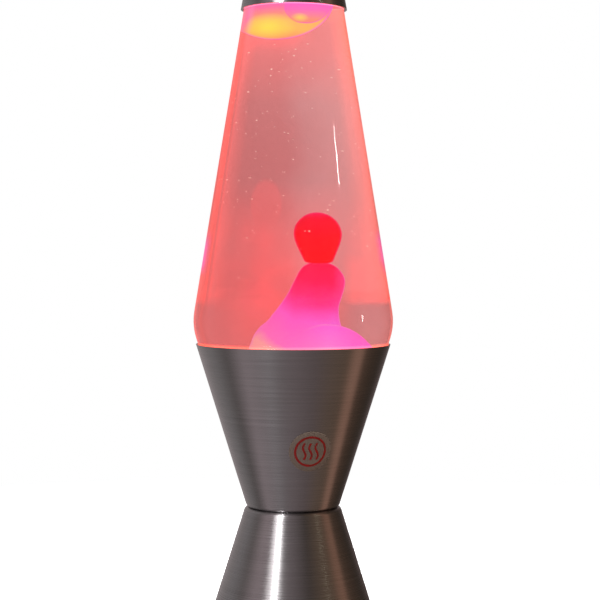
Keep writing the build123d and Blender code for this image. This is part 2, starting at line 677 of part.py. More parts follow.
# ---------------------------------------------------------------- export
NODES = {
    "lower_cone": lower_cone,
    "upper_cone": upper_cone,
    "waist_rivets": waist_rivets,
    "socket_bracket": socket_bracket,
    "lamp_nipple": lamp_nipple,
    "nipple_nuts": nipple_nuts,
    "lock_washer": lock_washer,
    "socket_body": socket_body,
    "socket_terminal_screws": socket_terminal_screws,
    "socket_screw_shell": socket_screw_shell,
    "socket_contact": socket_contact,
    "bottom_cover": bottom_cover,
    "rubber_feet": rubber_feet,
    "cord_grommet": cord_grommet,
    "care_label": care_label,
    "bulb_tip_contact": bulb_tip_contact,
    "bulb_insulator": bulb_insulator,
    "bulb_screw_shell": bulb_screw_shell,
    "bulb_envelope": bulb_envelope,
    "bulb_stem": bulb_stem,
    "bulb_lead_wires": bulb_lead_wires,
    "bulb_filament": bulb_filament,
    "globe_glass": globe_glass,
    "globe_liquid": globe_liquid,
    "wax_column": wax_column,
    "wax_blob": wax_blob,
    "wax_top_mass": wax_top_mass,
    "wax_top_blob": wax_top_blob,
    "heat_coil": heat_coil,
    "crown_liner": crown_liner,
    "crown_cap": crown_cap,
    "top_cap": top_cap,
}
for name, builder in NODES.items():
    builder.part.label = name
    export_step(builder.part, f"parts/{name}.step")
    print(name, len(builder.part.solids()), "solids", round(builder.part.volume), "mm3")
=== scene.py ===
"""The lava lamp's looks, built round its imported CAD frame.

Shapes are worked out in millimetres and stored in metres.
"""

import math
import random

import bmesh
import bpy
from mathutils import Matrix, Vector, noise


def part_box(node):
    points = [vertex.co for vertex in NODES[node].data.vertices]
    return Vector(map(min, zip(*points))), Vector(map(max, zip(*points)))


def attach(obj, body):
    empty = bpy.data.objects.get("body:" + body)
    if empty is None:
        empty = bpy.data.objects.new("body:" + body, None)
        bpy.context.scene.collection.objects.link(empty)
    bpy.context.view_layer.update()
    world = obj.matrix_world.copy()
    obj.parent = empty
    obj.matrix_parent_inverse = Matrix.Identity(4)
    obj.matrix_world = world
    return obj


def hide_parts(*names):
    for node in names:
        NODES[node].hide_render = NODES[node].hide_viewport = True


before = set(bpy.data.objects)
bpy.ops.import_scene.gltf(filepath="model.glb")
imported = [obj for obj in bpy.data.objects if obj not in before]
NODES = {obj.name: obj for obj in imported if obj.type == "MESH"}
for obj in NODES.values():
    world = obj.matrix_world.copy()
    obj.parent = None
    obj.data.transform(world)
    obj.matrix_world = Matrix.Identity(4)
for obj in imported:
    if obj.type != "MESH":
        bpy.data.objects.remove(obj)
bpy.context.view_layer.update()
scene = bpy.context.scene
MM = 0.001

# ---------------------------------------------------------------- dimensions, in millimetres, as in the CAD
SHEET = 0.8
WAIST_Z, CUP_Z = 98.0, 193.0
UPPER_WAIST_R, CUP_R = 26.95, 56.7
UPPER_SLOPE = (CUP_R - UPPER_WAIST_R) / (CUP_Z - WAIST_Z)
GLASS_T = 3.0
GLOBE_BOTTOM_Z = 99.75
GLOBE_CUP_R = CUP_R - SHEET * math.hypot(1, UPPER_SLOPE) - 0.42
GLOBE_FOOT_R = GLOBE_CUP_R - UPPER_SLOPE * (CUP_Z - GLOBE_BOTTOM_Z)
WIDEST_R, WIDEST_Z = 59.0, 204.2
TOP_R, TOP_Z = 28.2, 392.0
TOP_SLOPE = (WIDEST_R - TOP_R) / (TOP_Z - WIDEST_Z)
BEND_R = 34.0
MOUTH_R, MOUTH_Z = 8.5, 424.0
NECK_R, NECK_Z = 12.5, 412.0
FINISH_R, FINISH_Z = 13.3, 418.5
PUNT_H = 2.0
LIQUID_TOP_Z = 406.0
FINE_TURN = 256  # faces round a large lathe piece


# ---------------------------------------------------------------- mesh tools
def rounded(corners, step=math.radians(6)):
    """Points along straight runs through corners (x, y) or (x, y, radius), each rounded to its radius."""
    points = []
    for i, corner in enumerate(corners):
        here = Vector(corner[:2])
        radius = corner[2] if len(corner) > 2 else 0
        if not radius:
            points.append(here)
            continue
        back = (Vector(corners[i - 1][:2]) - here).normalized()
        ahead = (Vector(corners[(i + 1) % len(corners)][:2]) - here).normalized()
        half = back.angle(ahead) / 2
        centre = here + (back + ahead).normalized() * radius / math.sin(half)
        start = here + back * radius / math.tan(half) - centre
        end = here + ahead * radius / math.tan(half) - centre
        sweep = math.pi - 2 * half
        steps = max(2, math.ceil(sweep / step))
        for k in range(steps + 1):
            t = k / steps * sweep
            points.append(centre + (start * math.sin(sweep - t) + end * math.sin(t)) / math.sin(sweep))
    return [(p.x, p.y) for p in points]


def round_angles(count):
    """Even angles once round, from zero."""
    return [2 * math.pi * k / count for k in range(count)]


def join_rings(bm, rings):
    """Bands of faces between neighbouring rings, which have as many points as each other."""
    for low, high in zip(rings, rings[1:]):
        for k in range(len(low)):
            n = (k + 1) % len(low)
            bm.faces.new((low[k], low[n], high[n], high[k]))


def lathe(bm, profile, turn=FINE_TURN, centre=(0, 0), closed=True, shape=None):
    """Revolves points (radius, height) round a vertical axis.

    shape(angle, radius, height) may change the radius.
    """
    rings = []
    for r, z in profile:
        if abs(r) < 1e-6:
            rings.append([bm.verts.new((centre[0] * MM, centre[1] * MM, z * MM))])
            continue
        ring = []
        for angle in round_angles(turn):
            rr = shape(angle, r, z) if shape else r
            x = centre[0] + rr * math.cos(angle)
            y = centre[1] + rr * math.sin(angle)
            ring.append(bm.verts.new((x * MM, y * MM, z * MM)))
        rings.append(ring)
    pairs = list(zip(rings, rings[1:]))
    if closed and len(rings[0]) > 1 and len(rings[-1]) > 1:
        pairs.append((rings[-1], rings[0]))
    for low, high in pairs:
        for k in range(turn):
            n = (k + 1) % turn
            corners = [low[k % len(low)], low[n % len(low)], high[n % len(high)], high[k % len(high)]]
            unique = list(dict.fromkeys(corners))
            if len(unique) > 2:
                bm.faces.new(unique)


def tube(bm, path, radius, sides):
    """A round tube along points in millimetres, with flat ends."""
    points = [Vector(p) for p in path]
    last = len(points) - 1
    normal = None
    rings = []
    for i, p in enumerate(points):
        along = (points[min(i + 1, last)] - points[max(i - 1, 0)]).normalized()
        if normal is None:
            normal = along.orthogonal().normalized()
        normal = (normal - along * normal.dot(along)).normalized()
        side = along.cross(normal)
        ring = []
        for angle in round_angles(sides):
            out = normal * math.cos(angle) + side * math.sin(angle)
            ring.append(bm.verts.new((p + out * radius) * MM))
        rings.append(ring)
    join_rings(bm, rings)
    bm.faces.new(rings[0][::-1])
    bm.faces.new(rings[-1])


def blob(bm, centre, radii, subdivisions=5, ripple=0.0, seed=0.0):
    """An ellipsoid in millimetres, with a slow unevenness of ripple millimetres."""
    made = bmesh.ops.create_icosphere(bm, subdivisions=subdivisions, radius=1.0)["verts"]
    for v in made:
        p = v.co.copy()
        swell = ripple * noise.noise(p * 1.3 + Vector((seed, seed, seed)))
        v.co = Vector([(centre[i] + p[i] * (radii[i] + swell)) * MM for i in range(3)])


def piece(name, bm, material, body, replaces=(), sharp=35, modifiers=()):
    """Turns a bmesh into a piece that rides on a CAD body."""
    bmesh.ops.recalc_face_normals(bm, faces=bm.faces)
    mesh = bpy.data.meshes.new(name)
    bm.to_mesh(mesh)
    bm.free()
    obj = bpy.data.objects.new(name, mesh)
    scene.collection.objects.link(obj)
    for kind, settings in modifiers:
        modifier = obj.modifiers.new(kind, kind)
        for key, value in settings.items():
            setattr(modifier, key, value)
    if modifiers:
        done = bpy.data.meshes.new_from_object(obj.evaluated_get(bpy.context.evaluated_depsgraph_get()))
        obj.modifiers.clear()
        obj.data = done
        bpy.data.meshes.remove(mesh)
        mesh = done
        mesh.name = name
    mesh.materials.clear()
    mesh.materials.append(material)
    soften(mesh, sharp)
    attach(obj, body)
    if replaces:
        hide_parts(*replaces)
    return obj


def soften(mesh, sharp):
    """Smooth shading, broken at edges sharper than the given angle in degrees."""
    bm = bmesh.new()
    bm.from_mesh(mesh)
    for face in bm.faces:
        face.smooth = True
    for edge in bm.edges:
        edge.smooth = edge.calc_face_angle(0) < math.radians(sharp)
    bm.to_mesh(mesh)
    bm.free()


# ---------------------------------------------------------------- material tools
class Shader:
    """A node material under construction."""

    def __init__(self, name):
        self.material = bpy.data.materials.new(name)
        self.material.use_nodes = True
        self.tree = self.material.node_tree
        self.tree.nodes.clear()
        self.out = self.tree.nodes.new("ShaderNodeOutputMaterial")

    def node(self, kind, inputs=None, **settings):
        made = self.tree.nodes.new(kind)
        for key, value in settings.items():
            setattr(made, key, value)
        for key, value in (inputs or {}).items():
            if isinstance(value, bpy.types.NodeSocket):
                self.tree.links.new(value, made.inputs[key])
            else:
                made.inputs[key].default_value = value
        return made

    def place(self):
        """The point's place in the piece, which is its place in the lamp at rest, in metres."""
        return self.node("ShaderNodeTexCoord").outputs["Object"]

    def height(self):
        return self.node("ShaderNodeSeparateXYZ", {"Vector": self.place()}).outputs["Z"]

    def stretched(self, scale):
        return self.node("ShaderNodeMapping", {"Vector": self.place(), "Scale": scale}).outputs["Vector"]

    def noise(self, scale, detail=2.0, vector=None, roughness=0.5):
        made = self.node(
            "ShaderNodeTexNoise",
            {"Vector": vector or self.place(), "Scale": scale, "Detail": detail, "Roughness": roughness},
        )
        return made.outputs["Fac"]

    def maths(self, operation, a, b=0.0, clamp=False):
        return self.node("ShaderNodeMath", {0: a, 1: b}, operation=operation, use_clamp=clamp).outputs[0]

    def span(self, value, low, high, to_low=0.0, to_high=1.0):
        made = self.node(
            "ShaderNodeMapRange",
            {"Value": value, "From Min": low, "From Max": high, "To Min": to_low, "To Max": to_high},
        )
        return made.outputs["Result"]

    def ramp(self, fac, stops):
        made = self.node("ShaderNodeValToRGB", {"Fac": fac})
        elements = made.color_ramp.elements
        while len(elements) < len(stops):
            elements.new(0.5)
        for element, (position, colour) in zip(elements, stops):
            element.position = position
            element.color = (*colour, 1)
        return made.outputs["Color"]

    def mix(self, fac, a, b):
        """A blend of two colours. 0, 6 and 7 are the sockets that a mix of colours uses."""
        made = self.node("ShaderNodeMix", data_type="RGBA")
        for socket, value in ((made.inputs[0], fac), (made.inputs[6], a), (made.inputs[7], b)):
            if isinstance(value, bpy.types.NodeSocket):
                self.tree.links.new(value, socket)
            elif isinstance(value, (int, float)):
                socket.default_value = value
            else:
                socket.default_value = (*value, 1)
        return made.outputs[2]

    def bump(self, height, strength, distance=0.001):
        return self.node(
            "ShaderNodeBump", {"Height": height, "Strength": strength, "Distance": distance}
        ).outputs["Normal"]

    def principled(self, **inputs):
        made = self.node("ShaderNodeBsdfPrincipled", {k.replace("_", " "): v for k, v in inputs.items()})
        self.tree.links.new(made.outputs[0], self.out.inputs["Surface"])
        return made


def rgb(r, g, b):
    """An sRGB colour out of 255, as linear light."""
    return tuple((c / 255 / 12.92) if c <= 10 else ((c / 255 + 0.055) / 1.055) ** 2.4 for c in (r, g, b))


# ---------------------------------------------------------------- materials
def spun_aluminium():
    """Brushed round the axis: fine rings in bump and roughness, and highlights drawn out up and down."""
    s = Shader("spun_aluminium")
    fine = s.noise(1.0, 2.0, s.stretched((24, 24, 5200)))
    broad = s.noise(1.0, 2.0, s.stretched((7, 7, 1300)))
    smear = s.noise(35.0, 4.0)
    lines = s.maths("ADD", s.maths("MULTIPLY", fine, 0.7), s.maths("MULTIPLY", broad, 0.3))
    colour = s.ramp(lines, [(0.30, rgb(157, 155, 156)), (0.70, rgb(181, 179, 180))])
    colour = s.mix(s.span(smear, 0.35, 0.75, 0.0, 0.12), colour, rgb(134, 128, 124))
    rough = s.span(lines, 0.2, 0.8, 0.24, 0.32)
    s.principled(
        Base_Color=colour, Metallic=1.0, Roughness=rough, Anisotropic=0.85, Anisotropic_Rotation=0.25,
        Tangent=s.node("ShaderNodeTangent", direction_type="RADIAL", axis="Z").outputs[0],
        Normal=s.bump(lines, 0.05, 0.0001),
    )
    return s.material


def plain_metal(name, light, dark, roughness=0.32, grain=900.0, glow=((0, 0, 0), 0.0)):
    """A small turned or stamped metal part, with fine grain and a little tarnish."""
    s = Shader(name)
    grain_noise = s.noise(grain, 3.0)
    tarnish = s.noise(90.0, 4.0, roughness=0.6)
    colour = s.mix(s.span(tarnish, 0.35, 0.7), light, dark)
    rough = s.span(grain_noise, 0.2, 0.8, roughness - 0.07, roughness + 0.1)
    s.principled(
        Base_Color=colour, Metallic=1.0, Roughness=rough,
        Emission_Color=(*glow[0], 1), Emission_Strength=glow[1], Normal=s.bump(grain_noise, 0.1, 0.0002),
    )
    return s.material


def moulded(name, colour, roughness, grain, depth, coat=0.0):
    """Rubber, plastic or porcelain, with its moulded or glazed surface."""
    s = Shader(name)
    texture = s.noise(grain, 4.0)
    cloud = s.noise(60.0, 3.0)
    lighter = tuple(min(1.0, c * 1.3 + 0.004) for c in colour)
    s.principled(
        Base_Color=s.mix(s.span(cloud, 0.3, 0.7), colour, lighter),
        Roughness=s.span(texture, 0.25, 0.75, roughness - 0.06, roughness + 0.08),
        Coat_Weight=coat, Coat_Roughness=0.06, Normal=s.bump(texture, depth, 0.0003),
    )
    return s.material


def see_through(
    name, ior, absorb=None, density=0.0, ripple=0.0, specular=0.5, faint=1.0, glow=None, tint=None, coat=0.0
):
    """Glass or liquid: clear at its surface, with its colour in its depth. glow adds painted light: emission
    on the surface that stands in for the bulb's light.
    """
    s = Shader(name)
    wave = s.noise(45.0, 2.0)
    shader = s.principled(
        Base_Color=tint(s) if tint else (1, 1, 1, 1), Roughness=0.0, IOR=ior, Transmission_Weight=1.0,
        Specular_IOR_Level=specular, Specular_Tint=(*[faint] * 3, 1), Normal=s.bump(wave, ripple, 0.0005),
        Coat_Weight=coat, Coat_Roughness=0.05,
    )
    if glow:
        light, strength = glow(s)
        if isinstance(light, tuple):
            shader.inputs["Emission Color"].default_value = light
        else:
            s.tree.links.new(light, shader.inputs["Emission Color"])
        s.tree.links.new(strength, shader.inputs["Emission Strength"])
    if absorb:
        volume = s.node("ShaderNodeVolumeAbsorption", {"Color": (*absorb, 1), "Density": density})
        s.tree.links.new(volume.outputs[0], s.out.inputs["Volume"])
    return s.material


def sideways(s, low, high):
    """0 to 1 across the globe, left to right in millimetres."""
    x, _, _ = s.node("ShaderNodeSeparateXYZ", {"Vector": s.place()}).outputs
    return s.span(x, low * MM, high * MM)


def painted_bath_tint(s):
    """Painted light and shade in the liquid's tint: clearer to the right of the column than to its left, and
    greyer in the globe's bulge.
    """
    cloud = s.noise(14.0, 3.0)
    across = s.maths("ADD", sideways(s, -38, 38), s.span(cloud, 0.3, 0.7, -0.10, 0.10), clamp=True)
    high = s.ramp(
        across,
        [(0.0, (0.80, 0.58, 0.58)), (0.22, (0.68, 0.55, 0.55)), (0.45, (0.74, 0.64, 0.64)),
         (0.60, (0.78, 0.90, 0.90)), (0.85, (0.90, 0.97, 0.96)), (1.0, (0.92, 0.90, 0.88))],
    )
    low = s.ramp(across, [(0.0, (0.76, 0.60, 0.60)), (0.5, (0.82, 0.62, 0.62)), (1.0, (0.76, 1.0, 1.0))])
    high = s.mix(s.span(s.height(), 0.325, 0.375, 0.0, 0.55), high, (0.80, 0.66, 0.64))
    edge = s.maths("ADD", s.height(), s.span(s.noise(22.0, 1.0), 0.3, 0.7, -0.0012, 0.0012))
    return s.mix(s.span(edge, 0.2185, 0.2215), low, high)


def painted_edge_glow(s):
    """Painted light on the globe's wall: glow where the wall is looked through edge on, standing in for light
    the wall carries up from the bulb.
    """
    facing = s.node("ShaderNodeLayerWeight", {"Blend": 0.5}).outputs["Facing"]
    streak = s.noise(1.0, 3.0, s.stretched((110, 110, 7)))
    amount = s.maths("MULTIPLY", s.span(facing, 0.28, 0.80), s.span(streak, 0.3, 0.7, 0.6, 1.25))
    above_bulge = s.span(s.height(), 0.2165, 0.2225, 0.2, 1.0)
    low = s.maths("MAXIMUM", above_bulge, s.span(facing, 0.74, 0.86, 0.0, 0.9))
    # Painted shade: a narrow band near the left edge gets less glow.
    band = s.node("ShaderNodeMath", {0: facing, 1: 0.56, 2: 0.028}, operation="COMPARE").outputs[0]
    left = s.maths("MULTIPLY", sideways(s, -5, -15), band)
    amount = s.maths("MULTIPLY", amount, s.span(left, 0.0, 1.0, 1.0, 0.55))
    # The painted glow is redder on the left and more orange on the right.
    right = s.mix(s.span(s.height(), 0.33, 0.37), rgb(255, 98, 78), rgb(255, 116, 72))
    side = s.mix(sideways(s, -20, 20), rgb(255, 52, 30), right)
    # Painted highlights: magenta patches near the edges, between about 233 and 260 mm up.
    wander = s.maths("ADD", s.height(), s.span(s.noise(30.0, 2.0), 0.35, 0.65, -0.003, 0.003))
    belt = s.maths("MULTIPLY", s.span(wander, 0.260, 0.252), s.span(wander, 0.233, 0.240))
    patch = s.maths("MULTIPLY", belt, s.span(facing, 0.62, 0.80))
    colour = s.mix(patch, side, rgb(255, 76, 190))
    # Painted light lines along the glass at the cup's rim and under the cap.
    rim = s.maths("MAXIMUM", s.span(s.height(), 0.1949, 0.1936), s.span(s.height(), 0.3864, 0.3867, 0.0, 0.7))
    strength = s.maths("MULTIPLY", s.maths("MULTIPLY", amount, low), 0.62)
    rim_colour = s.mix(s.span(s.height(), 0.2, 0.38), rgb(255, 92, 62), rgb(255, 150, 172))
    return s.mix(rim, colour, rim_colour), s.maths("MAXIMUM", strength, s.maths("MULTIPLY", rim, 0.85))


def painted_wall_tint(s):
    """Painted light: the globe's wall is tinted redder where it is looked through edge on, on its left."""
    facing = s.node("ShaderNodeLayerWeight", {"Blend": 0.5}).outputs["Facing"]
    left = s.maths("MULTIPLY", sideways(s, -5, -15), s.span(facing, 0.48, 0.62))
    return s.mix(left, (1.0, 1.0, 1.0), (1.0, 0.60, 0.54))


def painted_bath_glow(s):
    """Painted light: red glow on the liquid round the wax, mostly to the column's left, standing in for light
    scattered in the liquid.
    """
    x, y, z = s.node("ShaderNodeSeparateXYZ", {"Vector": s.place()}).outputs
    cloud = s.noise(26.0, 3.0)
    near = s.maths("MULTIPLY", s.span(x, -0.044, -0.016), s.span(x, 0.032, 0.008))
    high = s.maths("MULTIPLY", s.span(z, 0.286, 0.238), s.span(z, 0.196, 0.222, 0.5, 1.0))
    amount = s.maths("MULTIPLY", s.maths("MULTIPLY", near, high), s.span(cloud, 0.38, 0.62, 0.55, 1.0))
    # Painted glow near the top of the liquid.
    amount = s.maths("MAXIMUM", amount, s.span(z, 0.330, 0.362, 0.0, 0.30))
    # Painted glow under the top wax, on its left.
    under_wax = s.maths("MULTIPLY", s.span(z, 0.354, 0.369, 0.0, 0.75), s.span(x, 0.012, 0.0))
    amount = s.maths("MAXIMUM", amount, under_wax)
    # Painted glow beside the column, on its front right.
    slanted = s.maths("ADD", z, s.maths("MULTIPLY", x, 0.35))
    lower_half = s.span(slanted, 0.258, 0.250, 0.0, 0.45)
    beside = s.maths("ADD", lower_half, s.span(slanted, 0.290, 0.262, 0.0, 0.40))
    beside = s.maths("MULTIPLY", beside, s.span(z, 0.2165, 0.2190))
    front_right = s.maths("MULTIPLY", s.span(x, 0.0250, 0.0330), s.span(y, 0.0, -0.01))
    beside = s.maths("MULTIPLY", beside, front_right)
    amount = s.maths("MAXIMUM", amount, beside)
    # A painted dome-shaped patch of glow near the front of the liquid.
    off = s.node("ShaderNodeVectorMath", {0: s.place(), 1: (-0.0150, -0.047, 0.272)}, operation="SUBTRACT")
    flat = s.node("ShaderNodeVectorMath", {0: off.outputs[0], 1: (1.0, 0.35, 0.60)}, operation="MULTIPLY")
    away = s.node("ShaderNodeVectorMath", {0: flat.outputs[0]}, operation="LENGTH").outputs["Value"]
    amount = s.maths("MAXIMUM", amount, s.span(away, 0.0100, 0.0082, 0.0, 0.42))
    return (1.0, 0.004, 0.010, 1.0), s.maths("MULTIPLY", amount, 0.34)


# Strength of the wax's painted glow.
WAX_STRENGTH = 2.0


def through(r, g, b):
    """The light, over WAX_STRENGTH, that looks like an sRGB colour from outside the pink liquid and glass."""
    return tuple(c / (f * WAX_STRENGTH) for c, f in zip(rgb(r, g, b), (0.88, 0.50, 0.50)))


def wax(name, along, stops, rim=None, rim_amount=0.0, rim_from=0.55, painted_highlight=None, under=None, right=None):
    """Wax with painted light: its colour and glow stand in for the bulb's light from below and change along
    it. along(s) gives 0 to 1.
    """
    s = Shader(name)
    cloud = s.noise(55.0, 3.0)
    along = s.maths("ADD", along(s), s.span(cloud, 0.3, 0.7, -0.03, 0.03))
    colour = s.ramp(along, stops)
    # Painted rim light where the wax is seen edge on.
    if rim:
        facing = s.node("ShaderNodeLayerWeight", {"Blend": 0.5}).outputs["Facing"]
        colour = s.mix(s.span(facing, rim_from, 0.97, 0.0, rim_amount), colour, rim)
    # A painted tone low down, near the bulb.
    if under:
        low, high, tone = under
        colour = s.mix(s.span(s.height(), high * MM, low * MM), colour, tone)
    # A painted tone on one side.
    if right:
        low, high, tone = right
        colour = s.mix(sideways(s, low, high), colour, tone)
    # A painted highlight.
    if painted_highlight:
        centre, reach, tone = painted_highlight
        centre_m = tuple(c * MM for c in centre)
        off = s.node("ShaderNodeVectorMath", {0: s.place(), 1: centre_m}, operation="SUBTRACT")
        flat = s.node("ShaderNodeVectorMath", {0: off.outputs[0], 1: (1.0, 0.6, 1.7)}, operation="MULTIPLY")
        away = s.node("ShaderNodeVectorMath", {0: flat.outputs[0]}, operation="LENGTH").outputs["Value"]
        colour = s.mix(s.span(away, reach * MM, reach * MM * 0.1), colour, tone)
    s.principled(
        Base_Color=s.mix(0.9, colour, (0.0, 0.0, 0.0)), Roughness=0.6, Specular_IOR_Level=0.0,
        Emission_Color=colour, Emission_Strength=WAX_STRENGTH, Normal=s.bump(cloud, 0.15, 0.001),
    )
    return s.material


def column_along(s):
    """0 at the foot's lower left to 1 at the column's top right."""
    x, _, z = s.node("ShaderNodeSeparateXYZ", {"Vector": s.place()}).outputs
    right = s.maths("MULTIPLY", s.span(x, -0.006, 0.012, 0.0, 0.13), s.span(z, 0.200, 0.214))
    across = s.maths("ADD", right, s.span(x, -0.022, 0.0, -0.25, 0.0))
    return s.maths("ADD", s.span(z, 0.188, 0.246), across)


def by_height(low, high):
    return lambda s: s.span(s.height(), low * MM, high * MM)


ALUMINIUM = spun_aluminium()
ZINC = plain_metal("zinc_plate", rgb(170, 172, 176), rgb(132, 134, 136), 0.34)
RIVET = plain_metal("rivet_metal", rgb(186, 187, 190), rgb(150, 150, 152), 0.30)
BRASS = plain_metal("brass", rgb(214, 178, 104), rgb(168, 128, 66), 0.28)
BULB_METAL = plain_metal("bulb_base_metal", rgb(202, 202, 204), rgb(168, 166, 162), 0.26)
WIRE = plain_metal("wire_metal", rgb(150, 148, 146), rgb(112, 108, 104), 0.36)
TUNGSTEN = plain_metal("tungsten", rgb(96, 96, 100), rgb(70, 70, 72), 0.4, glow=((1.0, 0.55, 0.22), 12.0))
SOLDER = plain_metal("solder", rgb(176, 176, 178), rgb(140, 140, 140), 0.4, grain=500.0)
TINPLATE = plain_metal("tinplate", rgb(196, 197, 200), rgb(160, 160, 160), 0.24)
RUBBER = moulded("black_rubber", rgb(26, 26, 26), 0.72, 1400.0, 0.35)
PLASTIC = moulded("black_plastic", rgb(30, 30, 31), 0.55, 2200.0, 0.3)
INSULATOR = moulded("black_glass_insulator", rgb(14, 14, 16), 0.18, 400.0, 0.05, coat=0.6)
PORCELAIN = moulded("porcelain", rgb(232, 229, 220), 0.25, 300.0, 0.06, coat=0.5)
LINER = moulded("liner_plastic", rgb(214, 216, 216), 0.5, 900.0, 0.1)
CLEAR_GLASS = see_through("clear_glass", 1.5, ripple=0.05)
STEM_GLASS = see_through("stem_glass", 1.5, ripple=0.1, tint=lambda s: (*rgb(236, 244, 240), 1))
# The globe's glass and liquid carry painted glow and painted tint.
GLOBE_GLASS = see_through(
    "coral_glass", 1.5, absorb=(0.98, 0.16, 0.14), density=80.0, ripple=0.008, specular=0.2, faint=0.3,
    glow=painted_edge_glow, tint=painted_wall_tint, coat=0.2,
)
LIQUID = see_through(
    "pink_liquid", 1.33, absorb=(0.60, 0.14, 0.16), density=9.5, specular=0.0, faint=0.3,
    glow=painted_bath_glow, tint=painted_bath_tint,
)
# The wax tones below are painted light: ramps that change up the wax, painted rim light, painted tones low
# down and on one side, and painted highlights.
COLUMN_WAX = wax(
    "column_wax", column_along,
    [(0.0, through(255, 160, 160)), (0.10, through(255, 112, 188)), (0.34, through(255, 96, 200)),
     (0.44, through(255, 80, 178)), (0.54, through(255, 62, 150)), (0.66, through(255, 42, 112)),
     (0.80, through(255, 20, 80)), (1.0, through(255, 18, 70))],
    through(255, 130, 190), 0.75, rim_from=0.68, under=(172, 190, through(255, 138, 150)),
    right=(18, 32, through(285, 84, 172)),
)
BLOB_WAX = wax(
    "blob_wax", by_height(238, 268),
    [(0.0, through(255, 1, 16)), (0.5, through(255, 1, 22)), (0.85, through(255, 3, 40)),
     (1.0, through(255, 30, 90))],
    through(255, 60, 110), 0.8,
)
TOP_WAX = wax(
    "top_wax", by_height(368, 388),
    [(0.0, through(290, 152, 96)), (0.25, through(290, 176, 90)), (0.5, through(290, 168, 98)),
     (0.7, through(290, 132, 124)), (0.86, through(290, 108, 150)), (1.0, through(290, 100, 168))],
    through(262, 90, 200), 1.0, rim_from=0.62, painted_highlight=((-13, -14, 373.5), 15, through(290, 216, 80)),
    right=(-19.5, -23.5, through(270, 124, 176)),
)
TOP_BLOB_WAX = wax(
    "top_blob_wax", by_height(376, 388),
    [(0.0, through(290, 124, 116)), (0.2, through(290, 132, 110)), (0.4, through(290, 118, 140)),
     (0.65, through(290, 98, 166)), (1.0, through(290, 94, 178))],
    through(262, 86, 190), 1.0, rim_from=0.62, painted_highlight=((3, -17.5, 379.0), 5.0, through(290, 190, 90)),
)


def paint(material, *nodes):
    """Gives carried-over CAD nodes their material."""
    for name in nodes:
        mesh = NODES[name].data
        mesh.materials.clear()
        mesh.materials.append(material)


paint(ALUMINIUM, "lower_cone", "upper_cone", "top_cap")
paint(ZINC, "socket_bracket", "nipple_nuts", "lock_washer")
paint(RIVET, "waist_rivets")
paint(BRASS, "lamp_nipple", "socket_terminal_screws", "socket_screw_shell", "socket_contact")
paint(PORCELAIN, "socket_body")
paint(PLASTIC, "bottom_cover")
paint(RUBBER, "rubber_feet", "cord_grommet")
paint(SOLDER, "bulb_tip_contact")
paint(INSULATOR, "bulb_insulator")
paint(BULB_METAL, "bulb_screw_shell")
paint(CLEAR_GLASS, "bulb_envelope")
paint(STEM_GLASS, "bulb_stem")
paint(WIRE, "bulb_lead_wires", "heat_coil")
paint(TUNGSTEN, "bulb_filament")
paint(LINER, "crown_liner")
paint(TINPLATE, "crown_cap")
paint(PLASTIC, "care_label")

# ---------------------------------------------------------------- globe: glass and liquid
upper_in = GLASS_T * math.hypot(1, UPPER_SLOPE)
top_in = GLASS_T * math.hypot(1, TOP_SLOPE)
floor_z = GLOBE_BOTTOM_Z + GLASS_T + PUNT_H
floor_r = GLOBE_FOOT_R + UPPER_SLOPE * (floor_z - GLOBE_BOTTOM_Z) - upper_in
BORE = [
    (0, floor_z), (floor_r, floor_z, 6), (WIDEST_R - upper_in, WIDEST_Z, BEND_R - GLASS_T),
    (TOP_R - top_in, TOP_Z, 9), (MOUTH_R, NECK_Z - 2, 5),
]


def bore_with(shift):
    """The globe's bore, moved out by shift. Its first two corners are its floor, which moves down."""
    moved = []
    for i, (r, z, *bend) in enumerate(BORE):
        moved.append((max(0.0, r + (shift if r else 0)), z + (-shift if i < 2 else 0), *bend))
    return moved


inside = rounded(BORE + [(MOUTH_R, MOUTH_Z - 1.0, 0.6), (MOUTH_R + 1.0, MOUTH_Z, 0.6)])
foot_in_r = GLOBE_FOOT_R - 7
outside = rounded(
    [
        (foot_in_r, GLOBE_BOTTOM_Z), (GLOBE_FOOT_R, GLOBE_BOTTOM_Z, 4.5), (WIDEST_R, WIDEST_Z, BEND_R),
        (TOP_R, TOP_Z, 12), (NECK_R, NECK_Z - 3, 6), (NECK_R, FINISH_Z - 0.8, 0.5), (FINISH_R, FINISH_Z, 0.6),
        (FINISH_R, MOUTH_Z - 0.2, 1.6), (MOUTH_R + 2, MOUTH_Z),
    ]
)
punt = [(foot_in_r * t, GLOBE_BOTTOM_Z + PUNT_H * (1 - t * t)) for t in (0, 0.2, 0.4, 0.6, 0.8, 0.95)]

bm = bmesh.new()
lathe(bm, punt + outside + inside[::-1], closed=False)
glass = piece("globe_glass_bottle", bm, GLOBE_GLASS, "globe", ["globe_glass"], sharp=60)


def radius_at(points, z):
    """Radius of a profile at a height."""
    for (r0, z0), (r1, z1) in zip(points, points[1:]):
        if min(z0, z1) <= z <= max(z0, z1) and z0 != z1:
            return r0 + (r1 - r0) * (z - z0) / (z1 - z0)
    return points[-1][0]


wet = [p for p in rounded(bore_with(0.15)) if p[1] < LIQUID_TOP_Z]
wet_r = radius_at(rounded(bore_with(0.15)), LIQUID_TOP_Z)
wet += [(wet_r, LIQUID_TOP_Z + 0.5), (wet_r - 0.8, LIQUID_TOP_Z), (0, LIQUID_TOP_Z - 0.1)]
bm = bmesh.new()
lathe(bm, wet, closed=False)
piece("pink_liquid_fill", bm, LIQUID, "globe", ["globe_liquid"], sharp=60)

# ---------------------------------------------------------------- wax
WAX_GAP = 0.5
bed = rounded(bore_with(-WAX_GAP))


